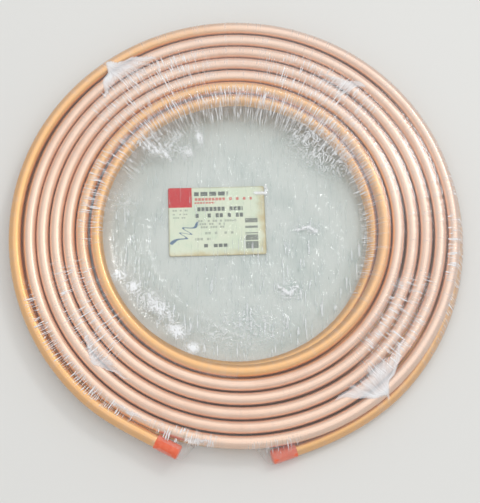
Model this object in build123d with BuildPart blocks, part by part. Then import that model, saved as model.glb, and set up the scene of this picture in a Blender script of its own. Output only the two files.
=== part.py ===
from build123d import *
import os
from math import acos, atan, atan2, cos, degrees, hypot, radians, sin, sqrt

# Coil of soft copper tube, wound flat in two layers and sealed in clear shrink film.
# Millimetres, +Z up. The origin is on the coil's axis, on the underside of the film.
# Angles run counter-clockwise seen from above, from the side where the tube ends come out (-Y).

# Tube stock: 1/2 inch outside diameter, 0.032 inch wall
tube_diameter = 12.7
tube_wall = 0.813

# Winding: centre-line radius of the upper layer's outermost turn, how far the lower layer's
# stands out beyond it, and the spacing of the turns inwards
upper_outer_radius = 219.0
lower_overhang = 6.4
turn_pitch = 13.5
upper_ring_count = 5
lower_ring_count = 6
valley_depth = 4.4

# Tube ends: the outermost turn of each layer leaves its ring and runs straight to an open end
lead_bend_radius = 90
upper_tip_angle = 345.6
upper_straight_run = 72
upper_parting_angle = 34
lower_tip_angle = 8.4
lower_straight_run = 40
lower_parting_angle = 138
open_bore_depth = 36

# Innermost turn: it lies off the axis, climbs from the lower layer to the upper one in half a
# turn, nests a little between the turns under it and then swings out onto the upper layer's rings
bore_turn_radius = 141.3
bore_turn_shift = 3.6
bore_turn_shift_angle = 330
bore_turn_sink = 1.5
climb_start_angle = 37.5
bore_turn_leave_angle = 360
bore_turn_bend_radius = 180

# End caps, soft plastic pushed over the tube
cap_wall = 0.75
cap_end_wall = 1.2
cap_depth = 23.5
cap_fit = 0.05
cap_end_round = 1.6

# Shrink film, drawn thicker than the real 0.05 so that it has a wall
film_gauge = 0.5
film_clearance = 0.2

# Paper label, loose inside the film in the bore
label_width = 99
label_height = 73
label_thickness = 0.3
label_corner_radius = 2
label_centre = (-21.6, 12.6)
label_turn = 2

# Sizes that follow from the ones above
tube_radius = tube_diameter / 2
lower_outer_radius = upper_outer_radius + lower_overhang
bore_radius = tube_radius - tube_wall
cap_inner_radius = tube_radius + cap_fit
cap_outer_radius = cap_inner_radius + cap_wall
cap_proud = cap_outer_radius - tube_radius
lower_level = film_gauge + film_clearance + tube_radius
upper_level = lower_level + tube_diameter
label_level = film_gauge + film_clearance
label_top = label_level + label_thickness
crown_rise = tube_radius - valley_depth
upper_rings = [upper_outer_radius - turn_pitch * (i + 1) for i in range(upper_ring_count)]
lower_rings = [lower_outer_radius - turn_pitch * (i + 1) for i in range(lower_ring_count)]
climb_rise = upper_level - bore_turn_sink - lower_level
climb_end_angle = climb_start_angle + 180


def place(radius, angle):
    """The point at a radius and at an angle from the -Y side, counter-clockwise."""
    return Vector(radius * sin(radians(angle)), -radius * cos(radians(angle)))


def tip_place(radius, straight_run, tip_angle, way):
    """The centre of a tube's open end: straight on from the tangent point of its outer turn."""
    tangent_angle = tip_angle - way * degrees(atan(straight_run / radius))
    return place(radius, tangent_angle) + way * straight_run * place(1, tangent_angle + 90)


def lead_path(radius, ring_radius, straight_run, tip_angle, parting_angle, way):
    """Centre line of a layer's outer turn, from its open end back to the ring it parts from.

    way is 1 where the end points counter-clockwise and -1 where it points clockwise.
    """
    tangent_angle = tip_angle - way * degrees(atan(straight_run / radius))
    turn_span = way * ((way * (tangent_angle - parting_angle)) % 360)
    inner_centre = radius - lead_bend_radius
    bend_span = degrees(
        acos(
            (ring_radius**2 - inner_centre**2 - lead_bend_radius**2)
            / (2 * inner_centre * lead_bend_radius)
        )
    )
    with BuildLine() as lead:
        Line(tip_place(radius, straight_run, tip_angle, way), place(radius, tangent_angle))
        CenterArc((0, 0), radius, tangent_angle - 90, -turn_span)
        CenterArc(
            place(inner_centre, parting_angle),
            lead_bend_radius,
            parting_angle - 90,
            -way * bend_span,
        )
    return lead.line


upper_tip = tip_place(upper_outer_radius, upper_straight_run, upper_tip_angle, 1)
lower_tip = tip_place(lower_outer_radius, lower_straight_run, lower_tip_angle, -1)
lower_parting = place(lower_outer_radius, lower_parting_angle)

# The upper end lies a cap's wall lower than its layer, so that its cap is level with the turns.
upper_lead_plane = Plane.XY.offset(upper_level - cap_proud)

# The lower end climbs by a cap's wall from where it parts from its ring to its open end.
lower_slope = cap_proud / (lower_parting.Y - lower_tip.Y)
lower_lead_plane = Plane(
    origin=(0, 0, lower_level + lower_slope * lower_parting.Y),
    x_dir=(1, 0, 0),
    z_dir=(0, lower_slope, 1),
)

upper_path = upper_lead_plane * lead_path(
    upper_outer_radius,
    upper_rings[0],
    upper_straight_run,
    upper_tip_angle,
    upper_parting_angle,
    1,
)
lower_path = lower_lead_plane * lead_path(
    lower_outer_radius,
    lower_rings[0],
    lower_straight_run,
    lower_tip_angle,
    lower_parting_angle,
    -1,
)


bore_turn_centre = place(bore_turn_shift, bore_turn_shift_angle)


def bore_turn_path():
    """Centre line of the innermost turn, from the lower layer to the upper layer's inner ring.

    The climb is half of a circle, tilted so that it starts and ends level. A level arc follows,
    and an arc of a larger radius takes it out to the ring.
    """
    half_rise = climb_rise / 2
    high_side = place(1, climb_end_angle)
    climb_plane = Plane(
        origin=bore_turn_centre + (0, 0, lower_level + half_rise),
        x_dir=bore_turn_radius * high_side + (0, 0, half_rise),
        z_dir=Vector(0, 0, bore_turn_radius) - half_rise * high_side,
    )
    level_plane = Plane.XY.offset(lower_level + climb_rise)
    bend_centre = bore_turn_centre - place(
        bore_turn_bend_radius - bore_turn_radius, bore_turn_leave_angle
    )
    bend_offset = hypot(bend_centre.X, bend_centre.Y)
    meets_ring = degrees(
        atan2(-bend_centre.Y, -bend_centre.X)
        + acos(
            (bore_turn_bend_radius**2 + bend_offset**2 - upper_rings[-1] ** 2)
            / (2 * bore_turn_bend_radius * bend_offset)
        )
    )
    bend_start = bore_turn_leave_angle - 90
    with BuildLine() as climb:
        CenterArc((0, 0), hypot(bore_turn_radius, half_rise), 180, 180)
    with BuildLine() as swing:
        CenterArc(
            bore_turn_centre,
            bore_turn_radius,
            climb_end_angle - 90,
            bore_turn_leave_angle - climb_end_angle,
        )
        CenterArc(
            bend_centre,
            bore_turn_bend_radius,
            bend_start,
            (meets_ring - bend_start) % 360,
        )
    return Wire([*(climb_plane * climb.line).edges(), *(level_plane * swing.line).edges()])


def end_plane(path):
    """The plane of a tube's open end, facing out along the tube."""
    return Plane(origin=path @ 0, z_dir=-(path % 0))


# Copper tube: a turned ring with one round crown for each turn on both ends, the innermost turn
# climbing inside it, and the outermost turn of each layer leading off it to an open tube end
with BuildPart() as copper_tube:
    with BuildSketch(Plane.XZ) as turns:
        with Locations(*[(r, upper_level) for r in upper_rings]):
            Circle(tube_radius)
        with Locations(*[(r, lower_level) for r in lower_rings]):
            Circle(tube_radius)
        with Locations((lower_rings[-1], lower_level - crown_rise)):
            Rectangle(
                lower_rings[0] - lower_rings[-1],
                2 * crown_rise,
                align=(Align.MIN, Align.MIN),
            )
        with Locations((upper_rings[-1], lower_level)):
            Rectangle(
                upper_rings[0] - upper_rings[-1],
                upper_level + crown_rise - lower_level,
                align=(Align.MIN, Align.MIN),
            )
    revolve(axis=Axis.Z)
    for path in (upper_path, lower_path, bore_turn_path()):
        with BuildSketch(end_plane(path)):
            Circle(tube_radius)
        sweep(path=path)
    for path in (upper_path, lower_path):
        with BuildSketch(end_plane(path)):
            Circle(bore_radius)
        extrude(amount=-open_bore_depth, mode=Mode.SUBTRACT)
copper_tube.part.label = "copper_tube"


def end_cap(path, name):
    """A cup over a tube's open end, its outer rim rounded."""
    with BuildPart() as cap:
        with BuildSketch(end_plane(path).offset(cap_fit + cap_end_wall)):
            Circle(cap_outer_radius)
        extrude(amount=-(cap_depth + cap_end_wall))
        closed_end = cap.faces().sort_by(Axis(path @ 0, -(path % 0)))[-1]
        fillet(closed_end.edges(), radius=cap_end_round)
        with BuildSketch(end_plane(path).offset(cap_fit)):
            Circle(cap_inner_radius)
        extrude(amount=-cap_depth, mode=Mode.SUBTRACT)
    cap.part.label = name
    return cap


end_cap_upper = end_cap(upper_path, "end_cap_upper")
end_cap_lower = end_cap(lower_path, "end_cap_lower")


def belt_angle(start, start_radius, finish, finish_radius):
    """Direction of the outward normal of a line stretched round two circles, in degrees."""
    run = finish - start
    return degrees(atan2(run.Y, run.X) - acos((start_radius - finish_radius) / run.length))


def tip_round(straight_run):
    """Radius at a tube's tip that keeps a line drawn to its turn clear of the cap's mouth."""
    covered = cap_depth / straight_run
    return (cap_outer_radius - tube_radius * covered) / (1 - covered)


def dish_radius(height, spread):
    """Radius of the film over the bore, about the innermost turn's centre.

    It is a cone laid against that turn above and against the lower layer's inner ring below.
    """
    lower_reach = lower_rings[-1] - bore_turn_shift
    lean = (bore_turn_radius - lower_reach) / (upper_level - lower_level)
    stand_off = (tube_radius + spread) * sqrt(1 + lean**2)
    return lower_reach + lean * (height - lower_level) - stand_off


def past_cap(path, spread, out):
    """A point level with the film over a cap's end, and out from the tube's centre line."""
    outward = -(path % 0)
    ahead = Vector(outward.X, outward.Y).normalized()
    beside = Vector(ahead.Y, -ahead.X)
    tip = Vector((path @ 0).X, (path @ 0).Y)
    if beside.dot(tip) < 0:
        beside = -beside
    return tip + (cap_fit + cap_end_wall + spread) * ahead + out * beside


def film_body(spread):
    """A block round the coil and its caps, drawn in between the caps and dished over the bore.

    spread is how far it stands off the copper, the caps and the label, all the way round.
    """
    axis = Vector(0, 0)
    upper_tip_radius = tip_round(upper_straight_run) + spread
    lower_tip_radius = tip_round(lower_straight_run) + spread
    upper_radius = upper_outer_radius + tube_radius + spread
    lower_radius = lower_outer_radius + tube_radius + spread
    bend_radius = lead_bend_radius + tube_radius + spread
    bend_centre = place(lower_outer_radius - lead_bend_radius, lower_parting_angle)
    onto_lower_turn = belt_angle(lower_tip, lower_tip_radius, axis, lower_radius)
    onto_upper_turn = belt_angle(bend_centre, bend_radius, axis, upper_radius)
    onto_upper_tip = belt_angle(axis, upper_radius, upper_tip, upper_tip_radius)
    across_tips = belt_angle(upper_tip, upper_tip_radius, lower_tip, lower_tip_radius)
    parting = lower_parting_angle - 90
    underside = lower_level - tube_radius - spread
    top = upper_level + tube_radius + spread
    dish_floor = label_top + spread
    drawn_in_radius = lower_rings[0] + tube_radius + spread
    aside = 2 * turn_pitch

    def arc(centre, radius, start, finish):
        return CenterArc(centre, radius, start, (finish - start) % 360)

    with BuildPart() as body:
        with BuildSketch(Plane.XY.offset(underside)):
            with BuildLine():
                round_lower_tip = arc(lower_tip, lower_tip_radius, across_tips, onto_lower_turn)
                round_lower_turn = arc(axis, lower_radius, onto_lower_turn, parting)
                round_bend = arc(bend_centre, bend_radius, parting, onto_upper_turn)
                round_upper_turn = arc(axis, upper_radius, onto_upper_turn, onto_upper_tip)
                round_upper_tip = arc(upper_tip, upper_tip_radius, onto_upper_tip, across_tips)
                Line(round_lower_tip @ 1, round_lower_turn @ 0)
                Line(round_bend @ 1, round_upper_turn @ 0)
                Line(round_upper_turn @ 1, round_upper_tip @ 0)
                Line(round_upper_tip @ 1, round_lower_tip @ 0)
            make_face()
        extrude(amount=top - underside)
        with Locations(bore_turn_centre + (0, 0, dish_floor)):
            Cone(
                dish_radius(dish_floor, spread),
                dish_radius(top, spread),
                top - dish_floor,
                align=(Align.CENTER, Align.CENTER, Align.MIN),
                mode=Mode.SUBTRACT,
            )
        level_faces = body.faces().filter_by(Axis.Z).sort_by(Axis.Z)
        rims = level_faces[0].edges() + level_faces[-1].edges()
        fillet(rims, radius=tube_radius + spread)
        with BuildSketch(Plane.XY.offset(underside)):
            with BuildLine():
                Polyline(
                    past_cap(upper_path, spread, -aside),
                    past_cap(upper_path, spread, aside),
                    past_cap(lower_path, spread, aside),
                    past_cap(lower_path, spread, -aside),
                    close=True,
                )
            make_face()
            Circle(drawn_in_radius, mode=Mode.SUBTRACT)
        extrude(amount=top - underside, mode=Mode.SUBTRACT)
    return body


# Shrink film: a closed pouch, flat over the turns, rounded over their outer edges, drawn in
# between the caps, and drawn down the sides of the bore to the label and the floor
film_outside = film_body(film_clearance + film_gauge)
film_inside = film_body(film_clearance)
with BuildPart() as shrink_film:
    add(film_outside.part)
    add(film_inside.part, mode=Mode.SUBTRACT)
shrink_film.part.label = "shrink_film"

# Paper label, lying on the film in the bore
with BuildPart() as label:
    with BuildSketch(Plane.XY.offset(label_level)):
        with Locations(Location(label_centre, label_turn)):
            RectangleRounded(label_width, label_height, label_corner_radius)
    extrude(amount=label_thickness)
label.part.label = "label"

os.makedirs("parts", exist_ok=True)
export_step(copper_tube.part, "parts/copper_tube.step")
export_step(end_cap_upper.part, "parts/end_cap_upper.step")
export_step(end_cap_lower.part, "parts/end_cap_lower.step")
export_step(shrink_film.part, "parts/shrink_film.step")
export_step(label.part, "parts/label.step")
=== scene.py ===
import math
import bmesh
import bpy
import numpy as np
from mathutils import Matrix, Vector


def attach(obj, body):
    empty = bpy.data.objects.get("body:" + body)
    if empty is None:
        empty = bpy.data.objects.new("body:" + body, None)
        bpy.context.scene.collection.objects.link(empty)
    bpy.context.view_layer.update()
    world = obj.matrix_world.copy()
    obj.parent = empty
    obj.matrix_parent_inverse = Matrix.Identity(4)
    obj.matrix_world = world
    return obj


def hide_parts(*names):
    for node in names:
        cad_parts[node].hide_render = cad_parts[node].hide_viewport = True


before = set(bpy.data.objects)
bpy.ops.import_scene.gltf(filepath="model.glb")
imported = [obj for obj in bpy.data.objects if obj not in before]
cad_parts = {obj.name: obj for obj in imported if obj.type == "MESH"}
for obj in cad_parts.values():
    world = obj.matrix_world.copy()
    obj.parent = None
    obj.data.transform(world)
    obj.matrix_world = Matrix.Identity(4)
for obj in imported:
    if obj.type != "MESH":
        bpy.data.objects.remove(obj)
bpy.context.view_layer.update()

bl_info = {
    "name": "Copper Tube Coil",
    "version": (1, 0, 0),
    "blender": (4, 5, 0),
    "location": "View3D > Sidebar > Coil",
    "description": "Winds a flat two-layer coil of copper tube, caps it, labels it and seals it in film",
    "category": "Add Mesh",
}

MM = 0.001
BODY = "root"


def length(name, description, default, least=0.0):
    """A property that holds a length in metres."""
    return bpy.props.FloatProperty(
        name=name, description=description, default=default, min=least, unit="LENGTH", precision=5
    )


def angle(name, description, degrees):
    """A property that holds an angle, kept in radians and shown in degrees."""
    return bpy.props.FloatProperty(
        name=name, description=description, default=math.radians(degrees), subtype="ANGLE"
    )


def amount(name, description, default):
    """A property that holds a plain number."""
    return bpy.props.FloatProperty(name=name, description=description, default=default)


def count(name, description, default):
    """A property that holds a whole number."""
    return bpy.props.IntProperty(name=name, description=description, default=default, min=3)


def colour(name, description, default):
    """A property that holds a colour."""
    return bpy.props.FloatVectorProperty(
        name=name, description=description, default=default, size=3, subtype="COLOR", min=0, max=1
    )


class CoilTube(bpy.types.PropertyGroup):
    """The tube and how it is wound. Angles run counter-clockwise from the side where its ends come out."""

    diameter: length("Tube Diameter", "Outside diameter of the tube", 12.7 * MM)
    wall: length("Tube Wall", "Thickness of the tube's wall", 0.813 * MM)
    lower_level: length("Lower Level", "Height of the lower layer's centre line", 7.05 * MM)
    bore_turn: length("Bore Turn", "Radius where the tube climbs between the layers", 137.6 * MM)
    lower_pitch: length("Lower Pitch", "Spacing of the lower layer's turns", 14.45 * MM)
    upper_pitch: length("Upper Pitch", "Spacing of the upper layer's turns", 13.55 * MM)
    lower_turns: count("Lower Turns", "Whole turns of the lower layer, with the climb", 7)
    upper_turns: count("Upper Turns", "Whole turns of the upper layer after the climb", 5)
    lower_leave: angle("Lower Leave", "Where the lower layer reaches its smallest turn", -300)
    upper_leave: angle("Upper Leave", "Where the upper layer starts to grow", -208)
    climb_start: angle("Climb Start", "Where the tube starts to climb", -300)
    climb_end: angle("Climb End", "Where the tube has reached the upper layer", -165)
    drift: length("Drift", "How far each upper turn lies off centre from the last", 0.55 * MM)
    drift_way: angle("Drift Way", "The side that the upper turns drift towards", 78)
    lean: length("Lean", "How far the whole upper layer lies off centre", 1.5 * MM)
    lean_way: angle("Lean Way", "The side that the upper layer leans towards", 266)
    loose: length("Loose", "How far the last turn stands off the one inside it", 1.1 * MM)
    wander: length("Wander", "How unevenly the turns lie", 0.22 * MM)
    lower_turn: length("Lower Turn", "Radius of the lower turn that its end leaves", 225.4 * MM)
    lower_run: length("Lower Run", "Straight length of the lower end", 40 * MM)
    lower_tip: angle("Lower Tip", "Where the lower end stops", 8.4)
    lower_join: angle("Lower Join", "Where the lower end has run into the winding", 48)
    upper_turn: length("Upper Turn", "Radius of the upper turn that its end leaves", 225 * MM)
    upper_run: length("Upper Run", "Straight length of the upper end", 50.2 * MM)
    upper_tip: angle("Upper Tip", "Where the upper end stops", 345.6)
    upper_join: angle("Upper Join", "Where the upper end starts to leave the winding", 318)
    rings: count("Rings", "Rings of points along the tube", 1500)
    sides: count("Sides", "Points round the tube", 22)
    copper: colour("Copper", "Colour of the bright copper", (0.91, 0.65, 0.50))
    copper_tarnish: colour("Tarnish", "Colour of the copper where it has dulled", (0.76, 0.44, 0.29))
    copper_gold: colour("Golden Copper", "Colour of the yellower stretches", (0.88, 0.47, 0.13))
    gold_until: length("Gold Until", "Length from the lower end where the golden stretch stops", 8.3)
    gold_from: length("Gold From", "Length from the lower end where it turns golden again", 14.02)


class CoilCaps(bpy.types.PropertyGroup):
    """The two soft caps."""

    wall: length("Cap Wall", "Thickness of the cap's side", 0.75 * MM)
    end_wall: length("End Wall", "Thickness of the cap's closed end", 1.2 * MM)
    depth: length("Depth", "How far the tube goes into the cap", 23.5 * MM)
    fit: length("Fit", "Gap between the tube and the cap", 0.05 * MM)
    round: length("End Round", "Radius of the cap's outer rim", 1.9 * MM)
    sides: count("Sides", "Points round the cap", 48)
    plastic: colour("Plastic", "Colour of the soft plastic", (0.91, 0.15, 0.06))


class CoilLabel(bpy.types.PropertyGroup):
    """The paper label that lies in the bore."""

    width: length("Width", "Width of the paper", 99 * MM)
    height: length("Height", "Height of the paper", 73 * MM)
    thickness: length("Thickness", "Thickness of the paper", 0.25 * MM)
    corner: length("Corner", "Radius of the paper's corners", 2 * MM)
    centre_x: length("Centre X", "Middle of the label", -21.6 * MM, least=-1.0)
    centre_y: length("Centre Y", "Middle of the label", 12.6 * MM, least=-1.0)
    turn: angle("Turn", "How far the label is turned", 2)
    level: length("Level", "Height of its underside", 0.72 * MM)
    curl: length("Curl", "How high its corners rise", 0.7 * MM)
    columns: count("Columns", "Points across the label", 100)
    paper: colour("Paper", "Colour of the clean paper", (0.79, 0.82, 0.66))
    stain: colour("Stain", "Colour of the stained edges", (0.62, 0.42, 0.16))
    ink: colour("Ink", "Colour of the dark print", (0.035, 0.045, 0.06))
    red: colour("Red", "Colour of the red print", (0.66, 0.022, 0.03))
    pen: colour("Pen", "Colour of the pen stroke", (0.015, 0.10, 0.26))


class CoilFilm(bpy.types.PropertyGroup):
    """The clear film that the coil is sealed in."""

    clearance: length("Clearance", "How far the film stands off the tube", 0.35 * MM)
    dip: length("Dip", "How far the film dips between two turns", 0.75 * MM)
    underside: length("Underside", "Height of the bottom sheet", 0.15 * MM)
    bore_level: length("Bore Level", "Height of the top sheet in the bore", 1.7 * MM)
    foot: length("Foot", "Gap between the film's foot and the innermost turn's side", 1.5 * MM)
    drape: angle("Drape", "How steeply the film comes off the innermost turn", 158)
    pleat: length("Pleat", "Height of the pleats round the bore", 0.5 * MM)
    crumple: length("Crumple", "Height of the film's loose wrinkles in the bore", 1.0 * MM)
    columns: count("Columns", "Points round the film", 720)
    tint: colour("Tint", "Colour of the clear film", (0.975, 0.985, 0.98))
    # The darker see-through colour is painted shade, laid in the film's creases, crumples and bore.
    shade: colour("Shade", "Colour of the film where it is creased", (0.74, 0.80, 0.79))
    # The whitish colour is that of the bunched film and of the film's painted glints and sheen.
    milk_and_glint: colour("Milk", "Colour of the film where it is bunched", (0.88, 0.90, 0.92))


class CoilStage(bpy.types.PropertyGroup):
    """The floor, the lamps and the camera."""

    floor: colour("Floor", "Colour of the floor", (0.74, 0.74, 0.72))
    sky: amount("Sky", "Strength of the light from all round", 0.70)
    soft_box: amount("Soft Box", "Watts of the wide lamp overhead", 20)
    key: amount("Key", "Watts of the smaller lamp at the upper right", 5)
    camera_distance: length("Camera Distance", "From the camera to the coil", 1.1)
    camera_tilt: angle("Camera Tilt", "How far the camera leans back from straight down", 15.6)
    camera_swing: angle("Camera Swing", "How far the camera leans to the side", -1.5)
    lens: amount("Lens", "Focal length in millimetres on a 36 mm frame", 78.73)
    look_x: length("Look X", "Point in the middle of the view", 1.5 * MM, least=-1.0)
    look_y: length("Look Y", "Point in the middle of the view", -24.6 * MM, least=-1.0)
    look_z: length("Look Z", "Height of the middle of the view", 19 * MM)


class CoilSettings(bpy.types.PropertyGroup):
    """All the sizes and colours of the coil."""

    tube: bpy.props.PointerProperty(type=CoilTube)
    caps: bpy.props.PointerProperty(type=CoilCaps)
    label: bpy.props.PointerProperty(type=CoilLabel)
    film: bpy.props.PointerProperty(type=CoilFilm)
    stage: bpy.props.PointerProperty(type=CoilStage)


def smooth(x):
    """An S-shaped step: 0 below 0, 1 above 1, and 3x² - 2x³ between."""
    x = np.clip(x, 0.0, 1.0)
    return x * x * (3.0 - 2.0 * x)


def ease(x, width):
    """A ramp with a soft start: 0 well below 0, x well above it, and w ln(1 + e^(x/w)) in all."""
    return width * np.logaddexp(0.0, x / width)


def sway(x, seed, waves, low, high):
    """A smooth uneven line between about -1 and 1: a sum of sines of whole, seeded frequencies."""
    draw = np.random.default_rng(seed)
    rate = draw.integers(low, high, waves)
    phase = draw.uniform(0, 2 * np.pi, waves)
    return np.sin(np.multiply.outer(x, rate) + phase).sum(-1) / math.sqrt(waves)


def place(radius, turned):
    """The point at a radius and at an angle from -Y, counter-clockwise: (r sin a, -r cos a)."""
    return np.stack([radius * np.sin(turned), -radius * np.cos(turned)], -1)


def tip_of(radius, run, tip, way):
    """A tube end's tip and its outward direction: straight on from the tangent point of its turn."""
    tangent = tip - way * math.atan(run / radius)
    outward = way * place(1.0, np.array(tangent + math.pi / 2))
    return place(radius, np.array(tangent)) + run * outward, outward


def winding_radius(tube, turned):
    """Radius of the winding at an angle counted through all its turns.

    It is smallest at the climb. One pitch a turn is added on either side of it, with a soft start,
    and the upper turns drift off centre, by a cosine that grows from turn to turn. The whole upper
    layer leans to one side, its last turn stands off a little, and slow seeded sines make every
    turn slightly uneven.
    """
    soft_start = 0.05
    turns = turned / (2 * np.pi)
    lower = tube.lower_pitch * ease(tube.lower_leave / (2 * np.pi) - turns, soft_start)
    upper = tube.upper_pitch * ease(turns - tube.upper_leave / (2 * np.pi), soft_start)
    drift = tube.drift * np.maximum(turns, 0) * np.cos(turned - tube.drift_way)
    lean = tube.lean * np.cos(turned - tube.lean_way) * smooth(turns + 0.5)
    loose = tube.loose * smooth((turns - 5.3) / 0.4)
    wander = tube.wander * sway(turned / 8, 4, 5, 9, 31)
    return tube.bore_turn + lower + upper + drift + lean + loose + wander


def winding_height(tube, turned):
    """Height of the winding: the lower level, one tube diameter more after the climb."""
    climbed = smooth((turned - tube.climb_start) / (tube.climb_end - tube.climb_start))
    return tube.lower_level + tube.diameter * climbed


def curve_between(start, start_way, finish, finish_way, steps):
    """Points of a cubic curve from one point and direction to another, by Hermite's formula."""
    reach = np.linalg.norm(finish - start)
    s = np.linspace(0, 1, steps)[:, None]
    return (
        (2 * s**3 - 3 * s**2 + 1) * start
        + (s**3 - 2 * s**2 + s) * reach * start_way
        + (3 * s**2 - 2 * s**3) * finish
        + (s**3 - s**2) * reach * finish_way
    )


def turn_range(tube):
    """The angles, counted through all turns, between which the tube follows the winding."""
    first = tube.lower_join - tube.lower_turns * 2 * np.pi
    last = tube.upper_join + tube.upper_turns * 2 * np.pi
    return first, last


def on_winding(tube, turned):
    """Points of the winding at angles counted through all its turns."""
    flat = place(winding_radius(tube, turned), turned)
    return np.concatenate([flat, winding_height(tube, turned)[..., None]], -1)


def tube_tips(tube, caps):
    """Tip and outward direction of the lower and of the upper end, as points in space.

    The lower end is lifted and the upper end lowered by a cap's wall, so that the caps are level
    with the turns.
    """
    proud = caps.wall + caps.fit
    lower, lower_way = tip_of(tube.lower_turn, tube.lower_run, tube.lower_tip, -1)
    upper, upper_way = tip_of(tube.upper_turn, tube.upper_run, tube.upper_tip, 1)
    upper_level = tube.lower_level + tube.diameter - proud
    return (
        np.append(lower, tube.lower_level + proud),
        np.append(lower_way, 0.0),
        np.append(upper, upper_level),
        np.append(upper_way, 0.0),
    )


def centre_line(tube, caps):
    """The tube's centre line as evenly spaced points from its lower end to its upper one, and its length.

    A straight stretch runs through each cap, a cubic curve joins it to the winding, and the whole
    is measured along its length and divided evenly.
    """
    wound_points = 12 * 360
    joint_points = 200
    lower, lower_way, upper, upper_way = tube_tips(tube, caps)
    first, last = turn_range(tube)
    turned = np.linspace(first, last, wound_points)
    wound = on_winding(tube, turned)
    heading = np.gradient(wound, axis=0)
    heading /= np.linalg.norm(heading, axis=1, keepdims=True)
    sleeve = caps.depth + 2 * MM
    lower_mouth = lower - sleeve * lower_way
    upper_mouth = upper - sleeve * upper_way
    way_in = curve_between(lower_mouth, -lower_way, wound[0], heading[0], joint_points)
    way_out = curve_between(wound[-1], heading[-1], upper_mouth, upper_way, joint_points)
    route = np.concatenate([[lower], way_in, wound[1:], way_out[1:], [upper]])
    run = np.append(0, np.cumsum(np.linalg.norm(np.diff(route, axis=0), axis=1)))
    even = np.linspace(0, run[-1], tube.rings)
    return np.stack([np.interp(even, run, route[:, i]) for i in range(3)], -1), run[-1]


def build_mesh(name, points, uv_rows, uv_cols, round_rows, round_cols):
    """A mesh from a grid of points, whose rows and columns may close on themselves.

    uv_rows and uv_cols give the UV of each row and column, with one more where they close.
    """
    rows, cols = points.shape[:2]
    i, j = np.meshgrid(
        np.arange(rows - (not round_rows)), np.arange(cols - (not round_cols)), indexing="ij"
    )
    corner_row = np.stack([i, i + 1, i + 1, i], -1).reshape(-1, 4)
    corner_col = np.stack([j, j, j + 1, j + 1], -1).reshape(-1, 4)
    faces = (corner_row % rows) * cols + corner_col % cols
    mesh = bpy.data.meshes.new(name)
    mesh.from_pydata(points.reshape(-1, 3), [], faces.tolist())
    uv = np.stack([uv_rows[corner_row], uv_cols[corner_col]], -1)
    mesh.uv_layers.new(name="UVMap").data.foreach_set("uv", uv.astype(np.float32).ravel())
    mesh.polygons.foreach_set("use_smooth", np.ones(len(faces), bool))
    return mesh


def weld(mesh, distance=1e-7):
    """Joins the points of a mesh that lie in one place, as at a pole."""
    bm = bmesh.new()
    bm.from_mesh(mesh)
    bmesh.ops.remove_doubles(bm, verts=bm.verts, dist=distance)
    bmesh.ops.recalc_face_normals(bm, faces=bm.faces)
    bm.to_mesh(mesh)
    bm.free()


def add_piece(mesh, material, slot, *nodes):
    """Puts a mesh into the scene as a piece that stands for CAD nodes."""
    mesh.materials.append(material)
    piece = bpy.data.objects.new(mesh.name, mesh)
    bpy.context.scene.collection.objects.link(piece)
    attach(piece, BODY)
    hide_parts(*nodes)
    return piece


class Wire:
    """A shader socket on which +, -, *, /, ** and abs() make Math nodes."""

    def __init__(self, paint, socket):
        self.paint = paint
        self.socket = socket

    def __add__(self, other):
        return self.paint.maths("ADD", self, other)

    def __sub__(self, other):
        return self.paint.maths("SUBTRACT", self, other)

    def __rsub__(self, other):
        return self.paint.maths("SUBTRACT", other, self)

    def __mul__(self, other):
        return self.paint.maths("MULTIPLY", self, other)

    def __truediv__(self, other):
        return self.paint.maths("DIVIDE", self, other)

    def __pow__(self, other):
        return self.paint.maths("POWER", self, other)

    def __abs__(self):
        return self.paint.maths("ABSOLUTE", self)

    __radd__ = __add__
    __rmul__ = __mul__


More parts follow.
